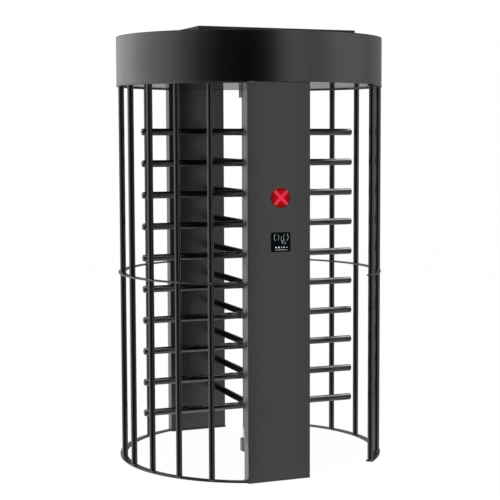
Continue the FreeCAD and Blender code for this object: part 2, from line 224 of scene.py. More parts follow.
# %% [markdown]
# The stub under the column is bare turned steel. Fine rings from the lathe run round it, so its
# noise is drawn out across X and Y and is tight along Z. The zinc plate on fasteners and brackets
# is duller, with the cloudy spangle of a thin plating. Castings, boxes and the reader's plastic
# have their own fine grain, and differ only in colour, roughness and the size of that grain, so
# one helper makes them all.

# %% Metals and plastics
def turned_steel(name):
    material, shader = new_finish(name, (0.42, 0.42, 0.41), metallic=1.0, roughness=0.28)
    rings = noise(material, scale=900.0, detail=1.0, stretch=(0.02, 0.02, 1.0))
    uneven(material, shader, rings, low=0.2, high=0.38)
    bump(material, shader, rings, depth=0.00002)
    stain = spread(material, noise(material, scale=40.0, detail=4.0), low=0.0, high=1.0)
    tint(material, shader, stain, colour=(0.46, 0.455, 0.44), other=(0.36, 0.355, 0.34))
    return material


def zinc_plate(name):
    material, shader = new_finish(name, (0.36, 0.37, 0.38), metallic=1.0, roughness=0.42)
    cloud = noise(material, scale=90.0, detail=3.0)
    uneven(material, shader, cloud, low=0.34, high=0.5)
    tint(material, shader, spread(material, cloud, low=0.0, high=1.0),
         colour=(0.4, 0.41, 0.42), other=(0.31, 0.32, 0.335))
    return material


def grained(name, colour, other, roughness, grain_scale, grain_depth, ior=1.5):
    material, shader = new_finish(name, colour, 0.0, roughness, ior=ior)
    shade = spread(material, noise(material, scale=18.0, detail=4.0), low=0.0, high=1.0)
    tint(material, shader, shade, colour, other)
    bump(material, shader, noise(material, grain_scale), grain_depth)
    return material


bare_steel = turned_steel("bare_steel")
zinc_steel = zinc_plate("zinc_steel")
grey_casting = grained("grey_casting", (0.11, 0.12, 0.13), (0.14, 0.15, 0.16),
                       roughness=0.45, grain_scale=420.0, grain_depth=0.0002)
black_plastic = grained("black_plastic", (0.012, 0.012, 0.013), (0.017, 0.017, 0.018),
                        roughness=0.4, grain_scale=1500.0, grain_depth=0.00004)
reader_case = grained("reader_case", (0.0015, 0.0016, 0.0017), (0.002, 0.0021, 0.0022),
                      roughness=0.3, grain_scale=1500.0, grain_depth=0.00002, ior=1.25)
box_grey = grained("box_grey", (0.34, 0.35, 0.35), (0.38, 0.39, 0.39),
                   roughness=0.55, grain_scale=900.0, grain_depth=0.00006)
reader_gloss = grained("reader_gloss", (0.0004, 0.0012, 0.0018), (0.0007, 0.0016, 0.0022),
                       roughness=0.06, grain_scale=60.0, grain_depth=0.000002, ior=1.15)
print("metals and plastics from", bare_steel.name, "to", reader_gloss.name)

# %% [markdown]
# The lamp glows. Its deep red lens is brightest behind the middle of the cross and falls off to a
# dark rim, most of all above, below and at the sides, where no diode sits behind it. A ramp on
# the distance from the lamp's middle does the first. The product of the offsets in X and Z does
# the second, because it is largest along the arms of the cross. Small prisms in the lens break
# the glow into cells, which a Voronoi pattern stands in for. The lens hardly mirrors the room, so
# its refractive index is low.

# %% Lamp finishes
lamp_low, lamp_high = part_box("lamp_lens")
lamp_middle = (lamp_low + lamp_high) / 2
lamp_radius = (lamp_high.x - lamp_low.x) / 2


def lamp_distances(material):
    """Share of the radius from the lamp's middle, and the product of the offsets in X and Z."""
    centred = object_place(material, "TEXTURE", Location=lamp_middle,
                           Scale=(lamp_radius, lamp_radius, lamp_radius))
    split = add_node(material, "SeparateXYZ", Vector=centred)
    x, z = split.outputs["X"], split.outputs["Z"]
    squares = math_node(material, "ADD", math_node(material, "MULTIPLY", x, x),
                        math_node(material, "MULTIPLY", z, z))
    product = math_node(material, "ABSOLUTE", math_node(material, "MULTIPLY", x, z))
    return math_node(material, "SQRT", squares), product


def red_plastic(name):
    material, shader = new_finish(name, (0.02, 0.0004, 0.0008), 0.0, roughness=0.15, ior=1.12)
    shader.inputs["Emission Strength"].default_value = 1.0
    return material, shader


prism_scale = 160.0
prism_share = 0.1
arm_share = -0.35
lens_glow = (
    (0.0, (0.62, 0.008, 0.04)), (0.25, (0.55, 0.005, 0.018)), (0.5, (0.4, 0.003, 0.006)),
    (0.75, (0.26, 0.002, 0.004)), (0.9, (0.17, 0.003, 0.004)), (1.0, (0.1, 0.003, 0.004)),
)


def colour_ramp(material, value, colours, socket):
    """Colours along a value from 0 to 1, the first and last at its two ends, led to a socket."""
    node = add_node(material, "ValToRGB", Fac=value)
    stops = node.color_ramp.elements
    stops[0].color = (*colours[0][1], 1.0)
    stops[1].color = (*colours[-1][1], 1.0)
    for position, colour in colours[1:-1]:
        stops.new(position).color = (*colour, 1.0)
    material.node_tree.links.new(node.outputs["Color"], socket)


def glowing_lens(name):
    material, shader = red_plastic(name)
    distance, product = lamp_distances(material)
    prisms = add_node(material, "TexVoronoi", Vector=object_place(material), Scale=prism_scale)
    cells = math_node(material, "MULTIPLY", prisms.outputs["Distance"], prism_share)
    near_arm = math_node(material, "MULTIPLY", product, arm_share)
    level = math_node(material, "ADD", math_node(material, "ADD", distance, cells), near_arm)
    colour_ramp(material, level, lens_glow, shader.inputs["Emission Color"])
    return material


middle_share = 0.45


def glowing_stroke(name, middle, end):
    """Lit stroke of the cross, of one colour where its arms meet and another at their ends."""
    material, shader = red_plastic(name)
    distance, _ = lamp_distances(material)
    colours = ((0.0, middle), (middle_share, middle), (1.0, end))
    colour_ramp(material, distance, colours, shader.inputs["Emission Color"])
    return material


lamp_red = glowing_lens("lamp_red")
cross_edge = glowing_stroke("cross_edge", (1.0, 0.08, 0.14), (1.0, 0.27, 0.28))
cross_fill = glowing_stroke("cross_fill", (0.75, 0.02, 0.06), (0.36, 0.006, 0.01))
print("lamp radius", round(lamp_radius, 4))

# %% [markdown]
# Each material slot of the record gets its finish, and every node of the frame is painted by it.
# Nodes that a new piece replaces are hidden later. The rest, such as the lock in the canopy, show
# their own shape.

# %% Paint the frame
finishes = {
    "black_coat": black_coat,
    "canopy_coat": canopy_coat,
    "ceiling_coat": ceiling_coat,
    "bare_steel": bare_steel,
    "zinc_steel": zinc_steel,
    "grey_casting": grey_casting,
    "black_plastic": black_plastic,
    "box_grey": box_grey,
    "reader_gloss": reader_gloss,
    "lamp_red": lamp_red,
    "lamp_white": cross_edge,
}
for row in frame["record"]["subparts"]:
    node = frame["nodes"][row["node"]]
    if not node.material_slots:
        node.data.materials.append(finishes[row["material_slot"]])
    for material_slot in node.material_slots:
        material_slot.link = "OBJECT"
        material_slot.material = finishes[row["material_slot"]]

# %% [markdown]
# Pieces are shaped as bmeshes, and each is made into an object that rides on a body of the frame.
# Flat shading shows the facets of a tube, so all faces are smooth, and only edges over a given
# angle stay sharp.

# %% Helpers for pieces
merge_distance = 1e-6
sharp_angle = math.radians(35.0)


def as_object(name, bm, material):
    mesh = bpy.data.meshes.new(name)
    bm.to_mesh(mesh)
    bm.free()
    mesh.materials.append(material)
    made = bpy.data.objects.new(name, mesh)
    bpy.context.scene.collection.objects.link(made)
    return made


def piece(name, bm, body, slot, stands_for=(), finish=None):
    """Make a bmesh into an object that rides on a body and wears a slot's finish."""
    bmesh.ops.remove_doubles(bm, verts=bm.verts, dist=merge_distance)
    bmesh.ops.recalc_face_normals(bm, faces=bm.faces)
    for edge in bm.edges:
        edge.smooth = not edge.is_manifold or edge.calc_face_angle() < sharp_angle
    for face in bm.faces:
        face.smooth = True
    made = as_object(name, bm, finish or finishes[slot])
    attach(made, body)
    if stands_for:
        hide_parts(*stands_for)
    return made


print("edges over", round(math.degrees(sharp_angle)), "degrees stay sharp")

# %% [markdown]
# Most shapes here start in one of two ways: a profile that is turned on a lathe, or a block whose
# edges are rounded with a bevel. Both get a helper.

# %% Helpers for shapes
def drawn(profile, closed):
    """Line through points of (radius, height). A closed one is a ring's section."""
    bm = bmesh.new()
    points = [bm.verts.new((radius, 0.0, height)) for radius, height in profile]
    ends = points[1:] + points[:1] if closed else points[1:]
    for near, far in zip(points, ends):
        bm.edges.new((near, far))
    return bm


def turn(bm, angle, axis):
    """Turn a bmesh about an axis through the origin, by an angle in degrees."""
    bmesh.ops.rotate(bm, verts=bm.verts, cent=(0, 0, 0),
                     matrix=Matrix.Rotation(math.radians(angle), 3, axis))
    return bm


def lathe(profile, steps, closed=False):
    """Turn a profile once round Z."""
    bm = drawn(profile, closed)
    bmesh.ops.spin(bm, geom=bm.verts[:] + bm.edges[:], cent=(0, 0, 0), axis=(0, 0, 1),
                   angle=2 * math.pi, steps=steps, use_merge=True, use_duplicate=False)
    bmesh.ops.remove_doubles(bm, verts=bm.verts, dist=merge_distance)
    return bm


def block(low, high):
    """Box between two corners."""
    low, high = Vector(low), Vector(high)
    bm = bmesh.new()
    bmesh.ops.create_cube(bm, size=1.0)
    bmesh.ops.scale(bm, vec=high - low, verts=bm.verts)
    bmesh.ops.translate(bm, vec=(low + high) / 2, verts=bm.verts)
    return bm


nearly_parallel = 0.99


def round_edges(bm, width, segments, along=None, over=50.0):
    """Round the edges over an angle, or only those that run along one axis."""
    limit = math.radians(over)
    edges = []
    for edge in bm.edges:
        if not edge.is_manifold or edge.calc_face_angle() < limit:
            continue
        direction = (edge.verts[1].co - edge.verts[0].co).normalized()
        if along is None or abs(direction.dot(along)) > nearly_parallel:
            edges.append(edge)
    bmesh.ops.bevel(bm, geom=edges, offset=width, segments=segments, profile=0.5,
                    affect="EDGES", material=-1, clamp_overlap=True)
    return bm


print("points nearer than", merge_distance, "m are merged")

# %% [markdown]
# The rings are flat bars rolled on edge into arcs. A lathe would give a full circle, so the
# section is spun through part of a turn instead, and the open ends are filled. The arcs on the
# closed side are cut off square where they meet the posts. A bisect does that cleanly, and a
# small bevel softens the mill edges.

# %% Rings of the cage
ring_outer = 0.733
ring_inner = 0.6945
ring_edge = 0.0008
degrees_per_step = 1.5
right_half_angle = 45.3
post_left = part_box("front_post")[0].x


def sweep(profile, start, angle, steps, closed=False):
    """Turn a profile about Z through part of a turn, from a start angle, in degrees."""
    bm = turn(drawn(profile, closed), start, "Z")
    bmesh.ops.spin(bm, geom=bm.verts[:] + bm.edges[:], cent=(0, 0, 0), axis=(0, 0, 1),
                   angle=math.radians(angle), steps=steps)
    return bm


def rolled_bar(start, angle, low, high):
    section = [(ring_inner, low), (ring_outer, low), (ring_outer, high), (ring_inner, high)]
    return sweep(section, start, angle, steps=round(angle / degrees_per_step), closed=True)


def close_ends(bm):
    rims = [edge for edge in bm.edges if edge.is_boundary]
    bmesh.ops.holes_fill(bm, edges=rims, sides=4)
    bmesh.ops.recalc_face_normals(bm, faces=bm.faces)
    return bm


def left_arc(low, high):
    bm = rolled_bar(90.0, 180.0, low, high)
    bmesh.ops.bisect_plane(bm, geom=bm.verts[:] + bm.edges[:] + bm.faces[:], dist=merge_distance,
                           plane_co=(post_left, 0, 0), plane_no=(1, 0, 0), clear_outer=True)
    return close_ends(bm)


def right_arc(low, high):
    return close_ends(rolled_bar(-right_half_angle, 2 * right_half_angle, low, high))


for level in ("bottom", "mid", "top"):
    node = level + "_rings"
    low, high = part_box(node)
    for side, arc in (("left", left_arc), ("right", right_arc)):
        bar = round_edges(arc(low.z, high.z), ring_edge, segments=2)
        # the ring arcs wear the satin coat whose black is painted lighter: painted light
        piece(f"{side}_{level}_arc", bar, "frame", "black_coat", (node,), finish=satin_painted_light_coat)
    print(level, "ring from", round(low.z, 4), "to", round(high.z, 4))

# %% [markdown]
# The uprights are round tubes, an inch and a quarter across, in two lengths that meet at the
# middle ring. The engineering model gives each one ten flats to stay light, so here smooth
# cylinders take their place on the same axis. Where a tube meets a ring the welder leaves a small
# fillet all round. One fillet is turned on the lathe and stamped wherever it is needed, into one
# mesh.

# %% Uprights and their welds
bar_radius = 0.0158
fillet_size = 0.0016
fillet_sunk = 0.0004
fillet_face = ((0.25, 0.8), (0.62, 0.5), (0.92, 0.16))
ring_top_of = {level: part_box(level + "_rings")[1].z for level in ("bottom", "mid", "top")}
ring_low_of = {level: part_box(level + "_rings")[0].z for level in ("bottom", "mid", "top")}
bar_nodes = sorted(name for name in frame["nodes"] if "_bar_" in name)


def stamp(pattern, places=(Matrix.Identity(4),), bm=None):
    """Copy a small bmesh to each of the given matrices, in a new bmesh or a given one."""
    if bm is None:
        bm = bmesh.new()
    master = bpy.data.meshes.new("pattern")
    pattern.to_mesh(master)
    for place in places:
        known = len(bm.verts)
        bm.from_mesh(master)
        bm.verts.ensure_lookup_table()
        bmesh.ops.transform(bm, matrix=place, verts=bm.verts[known:])
    pattern.free()
    bpy.data.meshes.remove(master)
    return bm


def fillet(radius, size):
    """Weld fillet on a plane at height 0, with a slightly full face."""
    face = [(radius + size * out, size * up) for out, up in fillet_face]
    profile = [(radius - fillet_sunk, size), *face, (radius + size, -fillet_sunk),
               (radius - fillet_sunk, -fillet_sunk)]
    return lathe(profile, steps=24, closed=True)


bar_places = []
for node in bar_nodes:
    low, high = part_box(node)
    middle = (low + high) / 2
    bar_places.append(middle)
    tube = bmesh.new()
    for bottom, top in ((low.z, ring_low_of["mid"]), (ring_top_of["mid"], high.z)):
        place = Matrix.Translation((middle.x, middle.y, (bottom + top) / 2))
        bmesh.ops.create_cone(tube, cap_ends=True, segments=40, radius1=bar_radius,
                              radius2=bar_radius, depth=top - bottom, matrix=place)
    # the tubes wear the coat whose black is painted darker: painted shade
    piece(node + "_tube", tube, "frame", "black_coat", (node,), finish=painted_shade_tube_coat)

upside_down = Matrix.Rotation(math.pi, 4, "X")
upward = [Matrix.Translation((place.x, place.y, ring_top_of[level]))
          for place in bar_places for level in ("bottom", "mid")]
downward = [Matrix.Translation((place.x, place.y, ring_low_of[level])) @ upside_down
            for place in bar_places for level in ("mid", "top")]
welds = stamp(fillet(bar_radius, fillet_size), upward + downward)
piece("cage_welds", welds, "frame", "black_coat", finish=painted_shade_tube_coat)
print(len(bar_places), "tubes,", len(upward) + len(downward), "fillets")

# %% [markdown]
# A post is sheet steel folded into a box. Folding leaves a bend radius of about the sheet's
# thickness and a half, and that thin rounded corner is what catches the light along the whole
# height. Only the upright edges are folds. The foot is a cut edge that is only deburred, and it
# meets its floor plate in a fine line.

# %% Posts
bend_radius = 0.003
deburr = 0.0007
# the rear post wears the satin coat whose black is painted lighter: painted light
for end, coat in (("front", post_coat), ("rear", satin_painted_light_coat)):
    low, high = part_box(end + "_post")
    shell = round_edges(block(low, high), bend_radius, segments=5, along=Vector((0, 0, 1)))
    round_edges(shell, deburr, segments=1, over=80.0)
    piece(end + "_post_shell", shell, "frame", "black_coat", (end + "_post",), finish=coat)
    print(end, "post", [round(value, 3) for value in high - low])

# %% [markdown]
# The canopy is a sheet rolled into a drum. Its rims are dressed to a small radius, its ceiling is
# a flat panel set just inside the lower rim, and the sheet's two ends meet in a ground weld at
# the back. The drum and the ceiling are separate pieces, because they differ in finish: the
# ceiling is a black gloss.

# %% Canopy drum
drum_low, drum_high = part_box("canopy_drum")
drum_radius = 0.7315
drum_sheet = 0.002
drum_steps = 180
rim_radius = 0.0012
rim_cut = rim_radius * 0.3
rim_slope = 0.0004
inside = drum_radius - drum_sheet
skin_profile = [
    (inside, drum_low.z + rim_slope), (drum_radius - rim_radius, drum_low.z),
    (drum_radius - rim_cut, drum_low.z + rim_cut), (drum_radius, drum_low.z + rim_radius),
    (drum_radius, drum_high.z - rim_radius), (drum_radius - rim_cut, drum_high.z - rim_cut),
    (drum_radius - rim_radius, drum_high.z), (inside, drum_high.z),
]
skin = lathe(skin_profile, drum_steps, closed=True)
piece("canopy_skin", skin, "frame", "canopy_coat", ("canopy_drum",))

ceiling_step = 0.0002
ceiling_low = drum_low.z + ceiling_step
ceiling_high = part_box("canopy_floor")[1].z
shaft_hole = 0.025
ceiling_profile = [(shaft_hole, ceiling_low), (inside, ceiling_low), (inside, ceiling_high),
                   (shaft_hole, ceiling_high)]
ceiling = lathe(ceiling_profile, drum_steps, closed=True)
piece("canopy_ceiling", ceiling, "frame", "ceiling_coat", ("canopy_floor",))

seam_half = 0.003
seam_rise = 0.0004
seam_edge = 0.0003
seam_short = 0.002
seam = block((-seam_half, inside, drum_low.z + seam_short),
             (seam_half, drum_radius + seam_rise, drum_high.z - seam_short))
piece("canopy_seam", round_edges(seam, seam_edge, segments=2), "frame", "canopy_coat")
print("drum is", round(drum_high.z - drum_low.z, 3), "m tall")

# %% [markdown]
# On the roof a flat lid closes the drum, held by a ring of pan head screws, and a low folded
# cover stands over its opening. A screw that is repeated many times needs few faces, so its dome
# has only two steps, and two thin crossed blocks in the top of the head stand in for its cross
# recess.

# %% Roof
def around(angle, radius, height):
    """Matrix that moves a shape to a radius, a height and an angle in degrees round Z."""
    return Matrix.Rotation(math.radians(angle), 4, "Z") @ Matrix.Translation((radius, 0.0, height))


def pan_screw(radius, height):
    profile = [(0.0, 0.0), (radius, 0.0), (radius, height * 0.35), (radius * 0.8, height * 0.8),
               (radius * 0.45, height), (0.0, height)]
    bm = lathe(profile, steps=16)
    thin, long = radius * 0.22, radius * 0.55
    low, high = height * 0.9, height * 1.01
    for wide, deep in ((long, thin), (thin, long)):
        stamp(block((-wide, -deep, low), (wide, deep, high)), bm=bm)
    return bm


frame["nodes"]["canopy_lid"].material_slots[0].material = roof_coat
lid_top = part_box("canopy_lid")[1].z
lid_screw_radius = 0.706
lid_screw_count = 20
lid_places = [around(360 / lid_screw_count * (k + 0.5), lid_screw_radius, lid_top)
              for k in range(lid_screw_count)]
lid_screws = stamp(pan_screw(radius=0.0055, height=0.003), lid_places)
piece("lid_screws", lid_screws, "frame", "canopy_coat", finish=roof_coat)

cover_edge = 0.0025
cover_low, cover_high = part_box("roof_cover")
cover = round_edges(block(cover_low, cover_high), cover_edge, segments=4)
piece("roof_cover_tray", cover, "frame", "canopy_coat", ("roof_cover",), finish=roof_coat)

screw_height = (cover_low.z + cover_high.z) / 2
cover_places = []
for side in (-1, 1):
    turned_x = Matrix.Rotation(side * math.pi / 2, 4, "Y")
    turned_y = Matrix.Rotation(-side * math.pi / 2, 4, "X")
    for share in (-0.6, 0.0, 0.6):
        on_x = Vector((cover_high.x * side, cover_high.y * share, screw_height))
        on_y = Vector((cover_high.x * share, cover_high.y * side, screw_height))
        cover_places.append(Matrix.Translation(on_x) @ turned_x)
        cover_places.append(Matrix.Translation(on_y) @ turned_y)
cover_screws = stamp(pan_screw(radius=0.004, height=0.002), cover_places)
piece("cover_screws", cover_screws, "frame", "canopy_coat", finish=roof_coat)
print(len(lid_places) + len(cover_places), "screws on the roof")

# %% [markdown]
# The rotor runs in two equal bearings. Each sits in a thick walled cup: one stands on the floor,
# the other hangs from the ceiling. All these are lathe work. The profiles have the chamfers that
# a turner puts on every edge, and each bearing shows its two races with a sunk seal between them.

# %% Bearing cups and bearings
cup_radius = 0.059
cup_drop = 0.063
seat_radius = 0.045
chamfer = 0.0015
floor_cup_top = 0.067
bearing_height = 0.024
bearing_gap = 0.0002
head_cup_high = drum_low.z
head_cup_low = head_cup_high - cup_drop
shaft_radius = 0.020


def cup(low, high, floor_height):
    """Cup that opens upwards, or a plain sleeve where the floor height is the low end."""
    outer = [(cup_radius - chamfer, low), (cup_radius, low + chamfer),
             (cup_radius, high - chamfer), (cup_radius - chamfer, high),
             (seat_radius + chamfer, high), (seat_radius, high - chamfer)]
    if floor_height > low:
        bottom = [(seat_radius, floor_height), (0.0, floor_height)]
        return lathe([(0.0, low)] + outer + bottom, steps=72)
    mouth = [(seat_radius, low + chamfer), (seat_radius + chamfer, low)]
    return lathe(outer + mouth, steps=72, closed=True)


def sealed_bearing(low):
    race = 0.004
    sunk = 0.0012
    high = low + bearing_height
    inner = shaft_radius + bearing_gap
    outer = seat_radius - bearing_gap
    profile = [(inner, low), (outer, low), (outer, high), (outer - race, high),
               (outer - race, high - sunk), (inner + race, high - sunk), (inner + race, high),
               (inner, high)]
    return lathe(profile, steps=64, closed=True)


seat_height = floor_cup_top - bearing_height
floor_cup = cup(0.0, floor_cup_top, seat_height)
head_cup = cup(head_cup_low, head_cup_high, head_cup_low)
floor_bearing = sealed_bearing(seat_height + bearing_gap)
head_bearing = sealed_bearing(head_cup_high - bearing_height - bearing_gap)
piece("floor_cup", floor_cup, "frame", "black_coat", ("bearing_cups",))
piece("head_cup", head_cup, "frame", "black_coat", ("bearing_cups",))
piece("floor_bearing", floor_bearing, "frame", "bare_steel", ("rotor_bearings",))
piece("head_bearing", head_bearing, "frame", "bare_steel", ("rotor_bearings",))

grub_heights = (floor_cup_top * 0.6, head_cup_low + 0.03)
grub_places = [around(angle, cup_radius, height) @ Matrix.Rotation(math.pi / 2, 4, "Y")
               for angle in (30, 150, 270) for height in grub_heights]
grub_profile = [(0.0, 0.0006), (0.0022, 0.0006), (0.003, 0.0009), (0.0034, 0.0), (0.0034, -0.001),
                (0.0, -0.001)]
grub_screws = stamp(lathe(grub_profile, steps=12), grub_places)
piece("grub_screws", grub_screws, "frame", "zinc_steel")
print("cups at", floor_cup_top, "and", round(head_cup_low, 3))

# %% [markdown]
# The column is a tube with a turned steel foot. The foot's shoulder is as wide as the column and
# stays bare, a brighter band just above the floor cup. A shaft leaves the column's top, goes
# through the ceiling and the lock, and ends in the motor. All three are profiles with chamfered
# ends, and a fine groove parts the bare foot from the coated column.

# %% Column, foot and shaft
column_radius = 0.0435
fine_chamfer = 0.001
foot_chamfer = 0.0012
thrust_gap = 0.0003
column_low, column_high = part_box("rotor_column")
column_profile = [(0.0, column_low.z), (column_radius - fine_chamfer, column_low.z),
                  (column_radius, column_low.z + fine_chamfer),
                  (column_radius, column_high.z - chamfer),
                  (column_radius - chamfer, column_high.z), (0.0, column_high.z)]
column = lathe(column_profile, steps=96)
piece("column_tube", column, "rotor", "black_coat", ("rotor_column",))

foot_low, shaft_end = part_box("rotor_spindles")
shoulder = floor_cup_top + thrust_gap
foot_profile = [(0.0, foot_low.z), (shaft_radius - fine_chamfer, foot_low.z),
                (shaft_radius, foot_low.z + fine_chamfer), (shaft_radius, shoulder),
                (column_radius - chamfer, shoulder), (column_radius, shoulder + chamfer),
                (column_radius, column_low.z - foot_chamfer),
                (column_radius - foot_chamfer, column_low.z), (0.0, column_low.z)]
foot = lathe(foot_profile, steps=96)
piece("steel_foot", foot, "rotor", "bare_steel", ("rotor_spindles",))

shaft_profile = [(0.0, column_high.z), (shaft_radius, column_high.z),
                 (shaft_radius, shaft_end.z - fine_chamfer),
                 (shaft_radius - fine_chamfer, shaft_end.z), (0.0, shaft_end.z)]
shaft = lathe(shaft_profile, steps=64)
piece("drive_shaft", shaft, "rotor", "bare_steel", ("rotor_spindles",))
print("column from", round(column_low.z, 3), "to", round(column_high.z, 3))

# %% [markdown]
# Forty arms are too many to place by hand, so one arm and one weld are made and stamped. An arm
# is a tube whose end is spun over: a quarter round with a flat left in the middle. The weld round
# its root lies on a round column, so the ring is laid on its side and each of its points is pushed
# out to the column's surface.

# %% Wings
arm_radius = 0.019
arm_root = 0.0397
arm_tip = 0.6215
nose_radius = 0.0085
wing_count = 4
arm_count = 10
top_arm = 1.799
arm_pitch = 0.1707
weld_size = 0.0045


def one_arm():
    """Arm along +X, made upright on the lathe and laid down."""
    flat = arm_radius - nose_radius
    nose = [(flat + nose_radius * math.cos(math.radians(degrees)),
             arm_tip - nose_radius + nose_radius * math.sin(math.radians(degrees)))
            for degrees in range(0, 91, 15)]
    bm = lathe([(0.0, arm_root), (arm_radius, arm_root), *nose, (0.0, arm_tip)], steps=40)
    return turn(bm, 90.0, "Y")


def arm_weld():
    """Fillet round the arm's root, bent to the column."""
    bm = turn(fillet(arm_radius, weld_size), 90.0, "Y")
    for vert in bm.verts:
        vert.co.x += math.sqrt(column_radius ** 2 - vert.co.y ** 2)
    return bm


heights = [top_arm - row * arm_pitch for row in range(arm_count)]
for number in range(wing_count):
    places = [around(number * 360 / wing_count, 0.0, height) for height in heights]
    node = f"wing_{number + 1}"
    arms = stamp(one_arm(), places)
    welds = stamp(arm_weld(), places)
    # the arms wear the coat whose black is painted darker: painted shade
    piece(node + "_arms", arms, "rotor", "black_coat", (node,), finish=painted_shade_tube_coat)
    piece(node + "_welds", welds, "rotor", "black_coat", finish=painted_shade_tube_coat)
print(wing_count * arm_count, "arms, the lowest at", round(heights[-1], 3))

# %% [markdown]
# The signal lamp is a shallow domed lens in a thin black gasket on the post's face. Its cross is
# moulded into the lens: one outline with twelve corners, drawn flat, turned by 45 degrees,
# extruded and inset once, so that the rim of each stroke and its filling can glow differently.

# %% Signal lamp
post_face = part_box("front_post")[0].y


def facing_front(bm, middle):
    """Stand a shape that was made on the XY plane upright, so that its top faces -Y."""
    turn(bm, 90.0, "X")
    bmesh.ops.translate(bm, vec=(middle.x, post_face, middle.z), verts=bm.verts)
    return bm


lens_rim = 0.0035
lens_edge = 0.0008
lens_height = 0.0062
dome = ((0.93, lens_rim + 0.0006), (0.8, lens_height - 0.0009), (0.5, lens_height - 0.0002))
lens_profile = [(0.0, 0.0), (lamp_radius, 0.0), (lamp_radius, lens_rim * 0.7),
                (lamp_radius - lens_edge, lens_rim),
                *((lamp_radius * share, height) for share, height in dome), (0.0, lens_height)]
lens = lathe(lens_profile, steps=96)
piece("lamp_dome", facing_front(lens, lamp_middle), "frame", "lamp_red", ("lamp_lens",))

gasket_inner = lamp_radius - 0.001
gasket_outer = lamp_radius + 0.0012
gasket_profile = [(gasket_inner, 0.0), (gasket_outer, 0.0), (gasket_outer, 0.001),
                  (lamp_radius + 0.0004, 0.0016), (gasket_inner, 0.0016)]
gasket = lathe(gasket_profile, steps=96, closed=True)
piece("lamp_gasket", facing_front(gasket, lamp_middle), "frame", "black_plastic")

stroke_half = 0.0059
stroke_reach = 0.0465
stroke_line = 0.0016
stroke_foot = lens_height - 0.0002
stroke_rise = 0.0008
line_step = 0.0003


def thicken(bm, rise):
    """Raise a flat shape on the XY plane by a thickness."""
    raised = bmesh.ops.extrude_face_region(bm, geom=bm.faces[:])["geom"]
    top = [item for item in raised if isinstance(item, bmesh.types.BMVert)]
    bmesh.ops.translate(bm, vec=(0, 0, rise), verts=top)
    return bm


def cross_shape():
    half, reach = stroke_half, stroke_reach
    quarter = [(half, half), (half, reach), (-half, reach)]
    outline = []
    for number in range(4):
        quarter_turn = Matrix.Rotation(number * math.pi / 2, 3, "Z")
        outline += [quarter_turn @ Vector((x, y, 0.0)) for x, y in quarter]
    bm = bmesh.new()
    bm.faces.new([bm.verts.new(point) for point in outline])
    turn(bm, 45.0, "Z")
    bmesh.ops.translate(bm, vec=(0, 0, stroke_foot), verts=bm.verts)
    thicken(bm, stroke_rise)
    bmesh.ops.recalc_face_normals(bm, faces=bm.faces)
    front = [face for face in bm.faces if face.normal.z > nearly_parallel]
    bmesh.ops.inset_region(bm, faces=front, thickness=stroke_line, depth=-line_step,
                           use_even_offset=True)
    for face in front:
        face.material_index = 1
    return bm


cross_bm = facing_front(cross_shape(), lamp_middle)
cross = piece("lamp_cross_lines", cross_bm, "frame", "lamp_white", ("lamp_cross",))
cross.data.materials.append(cross_fill)
print("lamp at height", round(lamp_middle.z, 3))

# %% [markdown]
# The card reader is a slim slab with a glossy front, both with round corners. Each is a block.
# The four corners that show from the front are rounded first, and then all sharp edges that are
# left get a fine round.

# %% Card reader
reader_low, reader_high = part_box("reader_housing")
glass_low, glass_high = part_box("reader_glass")
reader_middle = (reader_low + reader_high) / 2
slab_corner, glass_corner = 0.008, 0.005
slab_edge, glass_edge = 0.0008, 0.0004


def plate(low, high, corner, edge):
    """Block with round corners, as seen from the front, and a fine rounded edge."""
    bm = round_edges(block(low, high), corner, segments=8, along=Vector((0, 1, 0)))
    return round_edges(bm, edge, segments=2, over=60.0)


slab = plate(reader_low, reader_high, slab_corner, slab_edge)
piece("reader_slab", slab, "frame", "black_plastic", ("reader_housing",), finish=reader_case)
glass = plate(glass_low, glass_high, glass_corner, glass_edge)
piece("reader_front", glass, "frame", "reader_gloss", ("reader_glass",))
print("reader", [round(value, 3) for value in reader_high - reader_low])

# %% [markdown]
# On the reader's front are plain lit symbols: waves on both sides, a hand that holds a card, a
# row of pips and a light bar. Each is a thin ribbon, drawn on the XY plane around the reader's
# middle, thickened a little, and stood upright. A wave is an arc, so a short section is spun
# through part of a turn. Its numbers are its middle, radius, half angle, facing and width. The
# others are bars with round ends, and their numbers are the middle, length, width and angle.

# %% Symbols of the reader
symbol_lift = post_face - glass_low.y
symbol_rise = 0.0003
symbol_strength = 0.9


def glowing_line(name, colour, dim):
    """Lit plastic whose glow varies a little along its length."""
    material, shader = new_finish(name, dim, 0.0, roughness=0.25)
    level = spread(material, noise(material, scale=90.0, detail=1.0), low=0.0, high=0.5)
    tint(material, shader, level, colour, dim, socket="Emission Color")
    shader.inputs["Emission Strength"].default_value = symbol_strength
    return material


symbol_white = glowing_line("symbol_white", (0.6, 0.63, 0.65), (0.3, 0.32, 0.33))
symbol_grey = glowing_line("symbol_grey", (0.42, 0.46, 0.48), (0.2, 0.22, 0.23))
symbol_green = glowing_line("symbol_green", (0.01, 0.11, 0.075), (0.004, 0.03, 0.02))


def wave(x, y, radius, half_angle, facing, width):
    """Arc on the XY plane that bulges to +X or -X."""
    section = [(radius - width / 2, 0.0), (radius + width / 2, 0.0)]
    start = (0 if facing > 0 else 180) - half_angle
    bm = sweep(section, start, 2 * half_angle, steps=14)
    bmesh.ops.translate(bm, vec=(x, y, symbol_lift), verts=bm.verts)
    return thicken(bm, symbol_rise)


